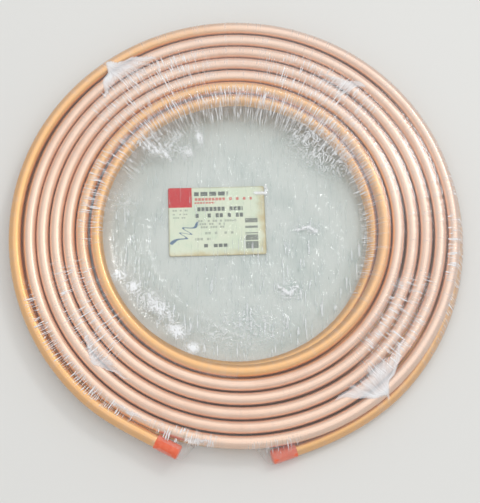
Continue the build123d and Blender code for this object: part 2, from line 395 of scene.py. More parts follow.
class Paint:
    """A material and its node tree."""

    def __init__(self, name):
        self.material = bpy.data.materials.new(name)
        self.material.use_nodes = True
        self.tree = self.material.node_tree
        self.tree.nodes.clear()

    def node(self, kind, settings=None, inputs=None, output=0):
        """Adds a node: settings are set first, then a value or a wire goes to each named socket."""
        made = self.tree.nodes.new(kind)
        for key, value in (settings or {}).items():
            if key == "stops":
                ramp = made.color_ramp
                while len(ramp.elements) < len(value):
                    ramp.elements.new(1.0)
                for element, (position, shade) in zip(ramp.elements, value):
                    element.position = position
                    element.color = (*shade, 1.0)
            else:
                setattr(made, key, value)
        for key, value in (inputs or {}).items():
            if isinstance(value, Wire):
                self.tree.links.new(value.socket, made.inputs[key])
            else:
                made.inputs[key].default_value = value
        return Wire(self, made.outputs[output]) if len(made.outputs) else None

    def maths(self, operation, first, second=0.0):
        return self.node("ShaderNodeMath", {"operation": operation}, {0: first, 1: second})

    def step(self, value, low, high):
        """0 up to low, 1 from high on, and an S-shaped ramp between."""
        return self.node(
            "ShaderNodeMapRange",
            {"interpolation_type": "SMOOTHSTEP"},
            {"Value": value, "From Min": low, "From Max": high},
        )

    def mix(self, share, first, second):
        """A colour between two, by a share."""
        first, second = (c if isinstance(c, Wire) else (*c, 1.0) for c in (first, second))
        return self.node("ShaderNodeMix", {"data_type": "RGBA"}, {0: share, 6: first, 7: second}, 2)

    def noise(self, where, scale, detail=2.0, rough=0.5, twist=0.0):
        """Soft noise from 0 to 1."""
        return self.node(
            "ShaderNodeTexNoise",
            inputs={
                "Vector": where,
                "Scale": scale,
                "Detail": detail,
                "Roughness": rough,
                "Distortion": twist,
            },
        )

    def stretch(self, where, scale):
        """The same coordinates, stretched along each axis."""
        return self.node("ShaderNodeMapping", inputs={"Vector": where, "Scale": scale})

    def here(self):
        """The point in the object's own space, in metres."""
        return self.node("ShaderNodeTexCoord", output="Object")

    def uv(self):
        """The piece's own UV map."""
        return self.node("ShaderNodeUVMap", {"uv_map": "UVMap"})

    def split(self, vector, axis):
        """One part of a vector: X, Y or Z."""
        return self.node("ShaderNodeSeparateXYZ", inputs={0: vector}, output=axis)

    def attribute(self, name):
        """A number kept at each point of the mesh."""
        return self.node("ShaderNodeAttribute", {"attribute_name": name}, output="Fac")

    def bump(self, height, distance, strength=1.0):
        """A normal tilted by a height that runs from 0 to 1 over a distance in metres."""
        return self.node(
            "ShaderNodeBump", inputs={"Height": height, "Distance": distance, "Strength": strength}
        )

    def show(self, shader):
        """Sends a shader to the material's output."""
        self.node("ShaderNodeOutputMaterial", inputs={"Surface": shader})
        return self.material


def copper_material(tube):
    """Bright drawn copper: long draw lines, dull and golden stretches and fine handling marks.

    The UV map's first number is the length along the tube in metres. The lower layer, the climb,
    a little over one turn after it and the last half turn are golden, and the rest is pink.
    """
    paint = Paint("copper")
    uv = paint.uv()
    here = paint.here()
    along = paint.split(uv, "X")
    lines = paint.noise(paint.stretch(uv, (1.5, 60, 1)), 1.0, 3.0, 0.6)
    patches = paint.noise(paint.stretch(uv, (7, 1.6, 1)), 1.0, 3.0, 0.55, 0.4)
    blotches = paint.noise(here, 34, 4.0, 0.6)
    specks = paint.noise(here, 900, 2.0, 0.5)
    dull = paint.step(patches * 0.6 + blotches * 0.4, 0.48, 0.70)
    shade = paint.mix(dull * 0.45, tuple(tube.copper), tuple(tube.copper_tarnish))
    first_gold = 1 - paint.step(along, tube.gold_until, tube.gold_until + 0.3)
    last_gold = paint.step(along, tube.gold_from, tube.gold_from + 0.2)
    shade = paint.mix((first_gold + last_gold) * 0.9, shade, tuple(tube.copper_gold))
    drawn = paint.noise(paint.stretch(uv, (2.2, 150, 1)), 1.0, 2.0, 0.5)
    shade = paint.mix(paint.step(drawn, 0.48, 0.66) * 0.42, shade, (0.55, 0.25, 0.14))
    rough = 0.32 + 0.10 * dull + 0.10 * paint.step(lines, 0.35, 0.75) + 0.05 * specks
    height = lines * 0.6 + drawn * 0.3 + specks * 0.2
    return paint.show(
        paint.node(
            "ShaderNodeBsdfPrincipled",
            inputs={
                "Base Color": shade,
                "Metallic": 1.0,
                "Roughness": rough,
                "Normal": paint.bump(height, 0.07 * MM, 0.8),
            },
        )
    )


def plastic_material(caps):
    """Soft orange-red plastic with a slight bloom, paler where it is scuffed."""
    paint = Paint("orange_plastic")
    here = paint.here()
    bloom = paint.step(paint.noise(here, 260, 4.0, 0.65), 0.42, 0.72)
    grain = paint.noise(here, 1500, 3.0, 0.6)
    dark = tuple(c * 0.72 for c in caps.plastic)
    pale = (0.95, 0.33, 0.20)
    shade = paint.mix(paint.noise(here, 90, 2.0), dark, tuple(caps.plastic))
    shade = paint.mix(bloom * 0.35, shade, pale)
    return paint.show(
        paint.node(
            "ShaderNodeBsdfPrincipled",
            inputs={
                "Base Color": shade,
                "Roughness": 0.38 + 0.2 * bloom,
                "Subsurface Weight": 0.15,
                "Subsurface Radius": (0.004, 0.0015, 0.001),
                "Normal": paint.bump(grain * 0.5 + bloom * 0.5, 0.12 * MM, 0.6),
            },
        )
    )


class COIL_OT_tube(bpy.types.Operator):
    """Wind the copper tube: one hollow tube from the lower open end to the upper one"""

    bl_idname = "coil.tube"
    bl_label = "Wind Tube"

    def execute(self, context):
        """A circle is carried along the centre line, out along the tube's outside and back in its bore.

        The circle's sideways axis is level and square to the line, the other one square to both.
        """
        tube, caps = context.scene.coil.tube, context.scene.coil.caps
        line, whole = centre_line(tube, caps)
        ahead = np.gradient(line, axis=0)
        ahead /= np.linalg.norm(ahead, axis=1, keepdims=True)
        side = np.cross(ahead, (0.0, 0.0, 1.0))
        side /= np.linalg.norm(side, axis=1, keepdims=True)
        top = np.cross(side, ahead)
        round_about = np.linspace(0, 2 * np.pi, tube.sides, endpoint=False)[:, None]
        circle = side[:, None] * np.cos(round_about) + top[:, None] * np.sin(round_about)
        outside = line[:, None] + circle * tube.diameter / 2
        inside = line[:, None] + circle * (tube.diameter / 2 - tube.wall)
        points = np.concatenate([outside, inside[::-1]])
        along = np.linspace(0, whole, tube.rings)
        uv_rows = np.concatenate([along, along[::-1], [0.0]])
        uv_cols = np.linspace(0, 1, tube.sides + 1)
        mesh = build_mesh("coiled_tube", points, uv_rows, uv_cols, True, True)
        weld(mesh)
        add_piece(mesh, copper_material(tube), "copper", "copper_tube")
        return {"FINISHED"}


def cap_mesh(name, tip, outward, tube, caps):
    """A cup over a tube's end: a profile of (distance past the tip, radius) turned about the tube.

    The profile starts at the outer pole, rolls over the rim by a quarter circle, runs back to a
    slightly rounded mouth and returns inside to the inner pole.
    """
    inner = tube.diameter / 2 + caps.fit
    outer = inner + caps.wall
    end = caps.fit + caps.end_wall
    swing = np.linspace(0, np.pi / 2, 7)
    rim = np.stack(
        [end - caps.round + caps.round * np.cos(swing), outer - caps.round + caps.round * np.sin(swing)], -1
    )
    mouth_turn = np.linspace(0, np.pi, 5)
    lip = caps.wall / 2
    mouth = np.stack(
        [caps.fit - caps.depth + lip - lip * np.sin(mouth_turn), outer - lip + lip * np.cos(mouth_turn)], -1
    )
    waist = 0.12 * MM
    dimple = 0.25 * MM
    side = np.linspace(rim[-1], mouth[0], 14)[1:-1]
    side[:, 1] -= waist * np.sin(np.linspace(0, np.pi, len(side)))
    face = np.stack([np.full(4, end), np.linspace(0, outer - caps.round, 4)], -1)[:-1]
    face[:, 0] -= dimple * np.cos(np.linspace(0, np.pi / 2, 3))
    back = np.array([[caps.fit, inner], [caps.fit, inner * 0.5], [caps.fit, 0.0]])
    profile = np.concatenate([face, rim, side, mouth, back])
    sideways = np.cross(outward, (0.0, 0.0, 1.0))
    upright = np.cross(sideways, outward)
    turned = np.linspace(0, 2 * np.pi, caps.sides, endpoint=False)[:, None]
    circle = sideways * np.cos(turned) + upright * np.sin(turned)
    points = tip + profile[:, None, :1] * outward + profile[:, None, 1:] * circle[None]
    mesh = build_mesh(
        name, points, np.linspace(0, 1, len(profile)), np.linspace(0, 1, caps.sides + 1), False, True
    )
    weld(mesh)
    return mesh


class COIL_OT_caps(bpy.types.Operator):
    """Push a soft cap over each open end"""

    bl_idname = "coil.caps"
    bl_label = "Fit Caps"

    def execute(self, context):
        tube, caps = context.scene.coil.tube, context.scene.coil.caps
        lower, lower_way, upper, upper_way = tube_tips(tube, caps)
        material = plastic_material(caps)
        for name, node, tip, way in (
            ("cap_lower", "end_cap_lower", lower, lower_way),
            ("cap_upper", "end_cap_upper", upper, upper_way),
        ):
            add_piece(cap_mesh(name, tip, way, tube, caps), material, "orange_plastic", node)
        return {"FINISHED"}


def label_rise(label, x, y):
    """How far the label rises off the bottom sheet, from its own x and y in metres.

    The corners curl with the fourth power of their distance out, and one slow wave crosses it.
    """
    out = (np.abs(2 * x / label.width) ** 4) * (np.abs(2 * y / label.height) ** 4)
    wave = 0.5 + 0.5 * np.sin(2 * np.pi * (x / label.width + 0.4 * y / label.height))
    return label.curl * (out + 0.35 * wave)


def label_space(label, x, y):
    """The label's own x and y at a point of the coil's frame."""
    dx, dy = x - label.centre_x, y - label.centre_y
    c, s = math.cos(label.turn), math.sin(label.turn)
    return dx * c + dy * s, dy * c - dx * s


def label_material(label):
    """Printed paper: a red block, rows of red and dark dashes, a bar block, stains and a scribble.

    The UV map runs from 0 to 1 from the left and from the bottom. A row of print is cut into
    cells, a dash fills most of each, and noise leaves some blank, so that it holds no letter.
    """
    paint = Paint("label_paper")
    uv = paint.uv()
    u, v = paint.split(uv, "X"), paint.split(uv, "Y")
    edge = 0.004

    def box(left, right, low, high):
        """1 inside a rectangle of the label, 0 outside."""
        inside_u = paint.step(u, left - edge, left + edge) * (1 - paint.step(u, right - edge, right + edge))
        inside_v = paint.step(v, low - edge, low + edge) * (1 - paint.step(v, high - edge, high + edge))
        return inside_u * inside_v

    def chance(number):
        """A number from 0 to 1 that jumps with the whole number it is given."""
        return paint.node("ShaderNodeTexWhiteNoise", {"noise_dimensions": "1D"}, {"W": number})

    def row(left, right, low, high, cells, blank=0.25):
        """One row of print as dashes."""
        spot = u * cells + 100 * low
        dash = paint.step(paint.maths("FRACT", spot), 0.15, 0.25)
        kept = paint.step(chance(paint.maths("FLOOR", spot)), blank, blank + 0.01)
        return box(left, right, low, high) * dash * kept

    def rows(*sizes):
        """Several rows of print together."""
        first, *rest = (row(*size) for size in sizes)
        return sum(rest, first)

    fibres = paint.noise(paint.here(), 1400, 3.0, 0.6)
    edge_out = paint.maths("MAXIMUM", abs(u - 0.5) * 2, abs(v - 0.5) * 2)
    blot = paint.noise(uv, 5.0, 4.0, 0.6)
    right_side = paint.step(u + blot * 0.25, 1.02, 1.16)
    foot = paint.step((1 - v) + blot * 0.25, 1.02, 1.17)
    stain = paint.maths("MAXIMUM", right_side, foot)
    rim = paint.step(edge_out + blot * 0.05, 0.985, 1.03)
    shade = paint.mix(paint.step(blot, 0.35, 0.7) * 0.5, tuple(label.paper), (0.66, 0.77, 0.60))
    shade = paint.mix(stain * 0.75, shade, tuple(label.stain))
    shade = paint.mix(rim * 0.6, shade, (0.40, 0.32, 0.17))
    dark = rows(
        (0.27, 0.62, 0.875, 0.935, 11, 0.0),
        (0.27, 0.77, 0.65, 0.71, 24),
        (0.27, 0.78, 0.555, 0.615, 24),
        (0.30, 0.61, 0.12, 0.17, 20, 0.15),
    )
    faint = rows(
        (0.28, 0.70, 0.49, 0.52, 40),
        (0.28, 0.58, 0.445, 0.475, 40),
        (0.28, 0.62, 0.40, 0.43, 40),
        (0.27, 0.67, 0.31, 0.345, 30, 0.4),
        (0.27, 0.43, 0.225, 0.26, 30),
        (0.04, 0.20, 0.655, 0.68, 40),
        (0.04, 0.20, 0.60, 0.62, 46),
        (0.04, 0.18, 0.55, 0.57, 46),
    )
    bars = box(0.79, 0.92, 0.09, 0.55) * paint.step(chance(paint.maths("FLOOR", v * 62)), 0.36, 0.37)
    red = rows((0.27, 0.87, 0.805, 0.845, 28, 0.1), (0.27, 0.48, 0.76, 0.785, 34, 0.1))
    block = box(0.0, 0.245, 0.71, 1.0)
    worn = paint.step(paint.noise(paint.stretch(uv, (24, 60, 1)), 1.0, 4.0, 0.7), 0.56, 0.66)
    out = (u - 0.17) * 0.46 + (v - 0.33) * 0.89
    over = (u - 0.17) * 0.89 - (v - 0.33) * 0.46
    sweep = 0.01 + 0.09 * paint.noise(uv, 7.0, 1.0)
    wobble = out * 46 + 2.2 * paint.maths("SINE", out * 19)
    scribble = abs(over - sweep * paint.maths("SINE", wobble))
    pen = (1 - paint.step(scribble, 0.010, 0.022)) * (1 - paint.step(abs(out), 0.20, 0.215))
    ink = paint.maths("MINIMUM", dark + bars * 0.85 + faint * 0.5, 1.0) * (1 - 0.45 * worn)
    shade = paint.mix(ink * 0.85, shade, tuple(label.ink))
    reddened = paint.maths("MAXIMUM", red * 0.75, block) * (1 - 0.22 * worn)
    shade = paint.mix(reddened, shade, tuple(label.red))
    shade = paint.mix(pen * 0.85, shade, tuple(label.pen))
    return paint.show(
        paint.node(
            "ShaderNodeBsdfPrincipled",
            inputs={
                "Base Color": shade,
                "Roughness": 0.62 - 0.2 * ink,
                "Normal": paint.bump(fibres, 0.06 * MM, 0.5),
            },
        )
    )


class COIL_OT_label(bpy.types.Operator):
    """Lay the printed paper label in the bore"""

    bl_idname = "coil.label"
    bl_label = "Lay Label"

    def execute(self, context):
        """A sheet with round corners: each row's half width is shortened by the corner's arc.

        The rows stand closer towards the upper and lower edge, by a sine.
        """
        label = context.scene.coil.label
        quarter = np.pi / 2 * 0.98
        across = np.linspace(-1, 1, label.columns)
        rows = round(label.columns * label.height / label.width)
        half_w, half_h = label.width / 2, label.height / 2
        y = half_h * np.sin(np.linspace(-1, 1, rows) * quarter) / math.sin(quarter)
        into = np.maximum(np.abs(y) - (half_h - label.corner), 0)
        short = label.corner - np.sqrt(np.maximum(label.corner**2 - into**2, 0))
        x = (half_w - short)[:, None] * across
        y = np.broadcast_to(y[:, None], x.shape)
        rise = label.level + label_rise(label, x, y)
        c, s = math.cos(label.turn), math.sin(label.turn)
        sheet = np.stack([label.centre_x + x * c - y * s, label.centre_y + x * s + y * c, rise], -1)
        mesh = build_mesh(
            "paper_label", sheet, np.linspace(0, 1, rows), np.linspace(0, 1, label.columns), False, False
        )
        uv = mesh.uv_layers["UVMap"].data
        flat = np.zeros(len(uv) * 2, np.float32)
        uv.foreach_get("uv", flat)
        corner = np.zeros(len(uv), np.int32)
        mesh.loops.foreach_get("vertex_index", corner)
        own = np.stack([x / label.width + 0.5, y / label.height + 0.5], -1).reshape(-1, 2)
        uv.foreach_set("uv", own[corner].astype(np.float32).ravel())
        bm = bmesh.new()
        bm.from_mesh(mesh)
        bmesh.ops.recalc_face_normals(bm, faces=bm.faces)
        if sum(f.normal.z for f in bm.faces) < 0:
            bmesh.ops.reverse_faces(bm, faces=bm.faces)
        bm.to_mesh(mesh)
        bm.free()
        piece = add_piece(mesh, label_material(label), "label_paper", "label")
        solid = piece.modifiers.new("thickness", "SOLIDIFY")
        solid.thickness = label.thickness
        solid.offset = 1.0
        return {"FINISHED"}


def edge_turns(tube, caps, columns):
    """Centre radius and height, for each angle, of the tubes that the film's edges lie against.

    It gives the angles, the crests of the upper layer from the climb outwards, and the outermost
    tubes of the upper and of the lower layer, out to their tips and just past them. Crests and
    tubes are (radius, height) at each angle.
    """
    line, _ = centre_line(tube, caps)
    turned = np.unwrap(np.arctan2(line[:, 0], -line[:, 1]))
    first, last = turn_range(tube)
    turned += np.round((first - 0.4 - turned[0]) / (2 * np.pi)) * 2 * np.pi
    radius = np.hypot(line[:, 0], line[:, 1])
    theta = np.linspace(0, 2 * np.pi, columns, endpoint=False)
    past = math.radians(2.4)

    def at(whole):
        return np.interp(whole, turned, radius), np.interp(whole, turned, line[:, 2])

    top_turn = math.floor(last / (2 * np.pi))
    crests = [at(theta + 2 * np.pi * k) for k in range(-1, top_turn + 1)]
    beyond = theta > tube.upper_tip + past
    outer = at(theta + 2 * np.pi * top_turn)
    inner = at(theta + 2 * np.pi * (top_turn - 1))
    upper = tuple(np.where(beyond, b, a) for a, b in zip(outer, inner))
    low_turn = math.ceil(first / (2 * np.pi) - 0.5)
    start = tube.lower_tip - past
    whole = theta + 2 * np.pi * low_turn
    whole = np.where(theta < start, whole + 2 * np.pi, whole)
    lower = at(whole)
    return theta, crests, upper, lower


def blur_round(values, columns, width):
    """Smooths values round the coil with a bell curve of a width in radians."""
    k = np.fft.rfftfreq(columns, 1 / columns)
    return np.fft.irfft(np.fft.rfft(values) * np.exp(-0.5 * (k * width) ** 2), columns)


def roll(circles, reach, normals):
    """Points of a skin stretched round circles, for each direction that it faces.

    circles are (radius, height) of centres at each angle round the coil. In each direction the
    skin lies on the circle that stands furthest out that way, softened where two are level.
    """
    softness = 0.35 * MM
    r = np.stack([c[0] for c in circles])[:, None]
    z = np.stack([c[1] for c in circles])[:, None]
    c, s = np.cos(normals)[:, None], np.sin(normals)[:, None]
    out = (r * c + z * s) / softness
    weight = np.exp(out - out.max(0))
    weight /= weight.sum(0)
    return (weight * r).sum(0) + reach * c, (weight * z).sum(0) + reach * s


def segment(x, y, ax, ay, bx, by):
    """Distance from points to a straight stretch, and the share of the way along it."""
    dx, dy = bx - ax, by - ay
    along = np.clip(((x - ax) * dx + (y - ay) * dy) / (dx * dx + dy * dy), 0, 1)
    return np.hypot(x - ax - along * dx, y - ay - along * dy), along


class COIL_OT_film(bpy.types.Operator):
    """Shrink the clear film over the coil, down into its bore and under it"""

    bl_idname = "coil.film"
    bl_label = "Shrink Film"

    def execute(self, context):
        """The film is a grid with a column for each angle round the coil.

        Its rows run from the middle of the bottom sheet out, up round the edge, in over the turns,
        down round the innermost one, down a slope to the film's foot and in to the bore's middle.
        """
        coil = context.scene.coil
        tube, caps, film, label = coil.tube, coil.caps, coil.film, coil.label
        columns = film.columns
        theta, crests, upper, lower = edge_turns(tube, caps, columns)
        reach = tube.diameter / 2 + film.clearance
        soft = math.radians(0.9)
        upper = tuple(blur_round(v, columns, soft) for v in upper)
        lower = tuple(blur_round(v, columns, soft) for v in lower)
        bulge = np.zeros(columns)
        for tip, way in ((tube.upper_tip, -1), (tube.lower_tip, 1)):
            near = way * (theta - tip)
            bulge += np.where((near > -0.02) & (near < 0.10), caps.wall + caps.fit, 0)
        bulge = blur_round(bulge, columns, soft)
        outer_r, outer_z = roll([upper, lower], reach, np.linspace(np.pi / 2, -np.pi / 2, 16))
        stick_out = (outer_r - outer_r[0]) / (outer_r.max(0) - outer_r[0] + 1e-9)
        outer_r = outer_r + bulge * stick_out
        outer_z = np.maximum(outer_z, film.underside)
        drop = np.linspace(np.pi / 2, film.drape, 10)
        under_climb = theta > tube.climb_start + 2 * np.pi
        lowest_turned = theta - 2 * np.pi * (1 + under_climb)
        lowest = (winding_radius(tube, lowest_turned), np.full(columns, tube.lower_level))
        inner_r, inner_z = roll([crests[1], crests[0], lowest], reach, drop)
        foot_r = inner_r[-1] - (inner_z[-1] - film.bore_level) / math.tan(math.pi - film.drape)
        foot_r = np.minimum(foot_r, lowest[0] - tube.diameter / 2 - film.foot)
        foot_r = blur_round(foot_r, columns, math.radians(2))
        fall = np.linspace(0, 1, 7)[1:, None]
        slope_r = inner_r[-1] * (1 - fall) + foot_r * fall
        slope_z = inner_z[-1] * (1 - fall) + film.bore_level * fall
        across = np.linspace(0, 1, 44)[1:-1, None]
        top_r = outer_r[0] * (1 - across) + inner_r[0] * across
        top_z, press = self.over_turns(film, reach, crests, upper, theta, top_r)
        bore = np.linspace(1, 0, 58)[1:, None] ** 0.9
        bore_r = foot_r * bore
        bore_z = self.in_bore(film, label, theta, bore_r, foot_r)
        under_r = outer_r[-1] * np.linspace(0, 1, 7)[:-1, None]
        under_z = np.full(under_r.shape, film.underside)
        slope_z += self.pleats(film, theta, slope_r, foot_r) * np.sin(np.pi * fall)
        r = np.concatenate([under_r, outer_r[::-1], top_r, inner_r, slope_r, bore_r])
        z = np.concatenate([under_z, outer_z[::-1], top_z, inner_z, slope_z, bore_z])
        points = np.concatenate([place(r, theta), z[..., None]], -1)
        rows = len(points)
        mesh = build_mesh(
            "clear_film", points, np.linspace(0, 1, rows), np.linspace(0, 1, columns + 1), False, True
        )
        pressed = np.zeros(r.shape)
        first_top = len(under_r) + len(outer_r)
        first_slope = first_top + len(top_r) + len(inner_r)
        pressed[len(under_r) : first_slope] = 1
        pressed[first_top : first_top + len(top_r)] = press
        for name, values in {**self.marks(points), "pressed": pressed}.items():
            data = mesh.attributes.new(name, "FLOAT", "POINT").data
            data.foreach_set("value", values.astype(np.float32).ravel())
        weld(mesh)
        add_piece(mesh, film_material(film), "clear_film", "shrink_film")
        return {"FINISHED"}

    def over_turns(self, film, reach, crests, upper, theta, r):
        """Height of the film over the upper layer, and how hard it is pressed onto the tube.

        From crest to crest it is straight, with a small dip of the form sin². It is pressed on by
        cos² of the same angle. Seeded sines round the coil and outwards add a slight ripple.
        """
        ripple = 0.05 * MM
        rungs = [*crests[:-1], upper]
        z = np.full(r.shape, np.nan)
        press = np.ones(r.shape)
        for (ra, za), (rb, zb) in zip(rungs[:-1], rungs[1:]):
            share = (r - ra) / (rb - ra)
            inside = (share >= 0) & (share <= 1) & (rb > ra)
            height = za + (zb - za) * share + reach - film.dip * np.sin(np.pi * share) ** 2
            z = np.where(inside, height, z)
            press = np.where(inside, np.cos(np.pi * share) ** 2, press)
        top = upper[1] + reach
        z = np.where(np.isnan(z), top, z)
        return z + ripple * sway(theta, 8, 9, 20, 120) * np.sin(r * 900), press

    def pleats(self, film, theta, r, foot_r):
        """Pleats round the bore: many seeded sines, tallest at the foot, fading as e^(-distance/fade)."""
        fade = 22 * MM
        depth = np.exp(-np.abs(foot_r - r) / fade)
        way = 25 * (foot_r - r)
        lines = sway(theta + 0.35 * way, 11, 14, 60, 170) + 0.5 * sway(theta - 0.3 * way, 12, 9, 90, 240)
        patchy = 0.5 + 0.5 * sway(theta, 13, 4, 1, 6)
        return film.pleat * depth * lines * (0.45 + 0.55 * patchy)

    def in_bore(self, film, label, theta, r, foot_r):
        """Height of the top sheet in the bore: level, over the label, with pleats and creases."""
        x, y = r * np.sin(theta), -r * np.cos(theta)
        u, v = label_space(label, x, y)
        beside = np.maximum(np.abs(u) - label.width / 2, np.abs(v) - label.height / 2)
        on_label = 1 - smooth(beside / (9 * MM))
        over_label = label.level + label.thickness + 0.5 * MM + label_rise(label, u, v)
        rise = np.maximum(film.bore_level, on_label * over_label)
        loose = 1 - on_label
        wave = sway(x * 120 + 2 * np.sin(y * 60), 21, 6, 1, 5) * sway(y * 90 + x * 50, 22, 6, 1, 5)
        z = rise + self.pleats(film, theta, r, foot_r) * loose
        z = z + film.crumple * (0.8 + wave) * (0.15 + 0.85 * loose) * 0.5
        for *ends, height, width in film_creases():
            away, along = segment(x, y, *ends)
            z = z + height * np.exp(-((away / width) ** 2)) * np.sin(np.pi * (0.1 + 0.8 * along))
        return np.maximum(z, rise - 0.1 * MM)

    def marks(self, points):
        """What the material needs at each point of the film.

        fold is how bunched it is, by the fan that covers the point most, raised along the fan's two edges
        as a painted highlight, fold_out and fold_across are the shares of the way along and across that
        fan, strain is how hard the film is drawn into fine ticks, crumple is how crumpled it lies in the
        bore, and crease is how near the point is to a sharp fold there. In the material the ticks, crumples
        and creases get painted glints and painted shade.
        """
        x, y = points[..., 0], points[..., 1]
        above = points[..., 2] > 1.0 * MM
        fold, fold_out, fold_across = (np.zeros(x.shape) for _ in range(3))
        bent_x = x + 2.2 * MM * sway(y * 60 + x * 35, 31, 5, 1, 6)
        bent_y = y + 2.2 * MM * sway(x * 60 - y * 35, 32, 5, 1, 6)
        for apex, one, two, strength in film_fans():
            out, across, inner = fan(bent_x, bent_y, apex, one, two)
            # Each fan is made whiter along its two edges: a painted highlight.
            edges = np.exp(-((across / 0.12) ** 2)) + np.exp(-(((1 - across) / 0.12) ** 2))
            white = strength * smooth(inner / 0.04) * np.clip(1 - out, 0, 1) ** 1.1 * (0.60 + 0.40 * edges)
            fold_out = np.where(white > fold, out, fold_out)
            fold_across = np.where(white > fold, across, fold_across)
            fold = np.maximum(fold, white)
        radius, turned = np.hypot(x, y), np.arctan2(x, -y)
        strain, crumple = np.zeros(x.shape), np.zeros(x.shape)
        for middle, spread, at, width, strength in film_strains():
            off = (turned - middle + np.pi) % (2 * np.pi) - np.pi
            ticked = np.exp(-((off / spread) ** 4) - ((radius - at) / width) ** 4)
            strain = np.maximum(strain, strength * ticked)
        for cx, cy, long, short, way, strength in film_crumples():
            c, s = math.cos(way), math.sin(way)
            u, v = ((x - cx) * c + (y - cy) * s) / long, ((y - cy) * c - (x - cx) * s) / short
            crumple = np.maximum(crumple, strength * np.exp(-((u * u + v * v) ** 1.5)))
        crease = np.zeros(x.shape)
        for *ends, _, width in film_creases():
            away, _ = segment(x, y, *ends)
            crease = np.maximum(crease, np.exp(-((away / (1.1 * width)) ** 2)))
        return {
            "fold": fold * above,
            "fold_out": fold_out,
            "fold_across": fold_across,
            "strain": strain * above,
            "crumple": crumple * above,
            "crease": crease * above,
        }


def fan(x, y, apex, one, two):
    """Where points lie in a fan that opens from its apex to two ends.

    A point is the apex plus a of the way to the first end plus b of the way to the second. Its
    share out is a + b, its share across b / (a + b), and the smaller of a and b says how far in.
    """
    ax, ay = one[0] - apex[0], one[1] - apex[1]
    bx, by = two[0] - apex[0], two[1] - apex[1]
    square = ax * by - ay * bx
    a = ((x - apex[0]) * by - (y - apex[1]) * bx) / square
    b = (ax * (y - apex[1]) - ay * (x - apex[0])) / square
    return a + b, b / np.where(np.abs(a + b) < 1e-6, 1e-6, a + b), np.minimum(a, b)


def film_creases():
    """Sharp folds in the bore's film: both ends, height and half width, in metres."""
    rows = (
        (-126, -44, -91, -70, 2.6, 2.0),
        (-91, -70, -72, -90, 2.8, 2.6),
        (-72, -90, -54, -113, 2.8, 2.6),
        (-54, -113, -40, -127, 2.4, 2.0),
        (60, 3, 72, 7, 1.5, 1.2),
        (72, 7, 80, 2, 1.5, 1.2),
        (40, -56, 52, -64, 1.4, 1.2),
        (52, -64, 60, -56, 1.4, 1.2),
        (-102, 89, -69, 78, 1.3, 1.3),
        (-69, 78, -50, 87, 1.3, 1.3),
        (-42, 104, -39, 96, 2.0, 2.6),
        # These two are small folds at the label's upper right corner; the white along them is a painted
        # glint.
        (28, 51, 29, 43, 1.2, 1.0),
        (17, 43, 29, 43, 1.2, 1.3),
    )
    return [tuple(value * MM for value in row) for row in rows]


def film_fans():
    """Corner folds on the upper layer: apex, both ends and strength.

    Each point is written as degrees from -Y, counter-clockwise, and millimetres from the axis.
    """
    rows = (
        ((218, 225), (200, 200), (229, 190), 1.0),
        ((217, 222), (199, 186), (216, 165), 0.55),
        ((40, 224), (61, 194), (23, 193), 0.95),
        ((314, 199), (333, 185), (301, 180), 0.7),
        ((331, 217), (346, 212), (317, 217), 0.6),
        ((139, 205), (163, 183), (147, 154), 0.55),
        # This fan, at the upper cap's end, gives white lines there as a painted glint.
        ((349, 212), (344, 226), (354, 219), 0.8),
    )
    return [
        (*(place(at * MM, np.radians(float(turned))) for turned, at in points), strength)
        for *points, strength in rows
    ]


def film_strains():
    """Where the film is drawn into ticks: angle, half spread, radius, half width and strength."""
    rows = (
        (180, 66, 141, 11, 1.0),
        (185, 62, 124, 8, 0.8),
        (255, 24, 148, 14, 0.6),
        (88, 32, 131, 6, 0.8),
        (310, 22, 217, 7, 1.0),
        (85, 10, 215, 5, 0.8),
        (85, 30, 226, 5, 0.6),
        (214, 24, 176, 26, 0.6),
        (58, 18, 184, 24, 0.65),
        (300, 20, 172, 26, 0.55),
        (150, 24, 176, 26, 0.5),
        # These two lie over the caps, where the white ticks give the caps a painted sheen.
        (346, 9, 215, 8, 0.8),
        (9, 7, 221, 7, 0.6),
    )
    return [
        (math.radians(middle), math.radians(spread), at * MM, width * MM, strength)
        for middle, spread, at, width, strength in rows
    ]


def film_crumples():
    """Crumpled places in the bore: middle, half length, half width, turn and strength."""
    rows = (
        (84, 90, 42, 20, -0.65, 1.0),
        (-78, 92, 32, 13, 0.0, 0.8),
        (-119, 26, 16, 14, 0.0, 0.4),
        (52, -60, 15, 11, 0.3, 0.8),
        (70, 4, 14, 8, 0.0, 0.6),
        (2, -102, 52, 24, 0.1, 0.5),
        (-84, -78, 46, 12, -0.75, 0.7),
    )
    return [
        (x * MM, y * MM, long * MM, short * MM, way, strength)
        for x, y, long, short, way, strength in rows
    ]


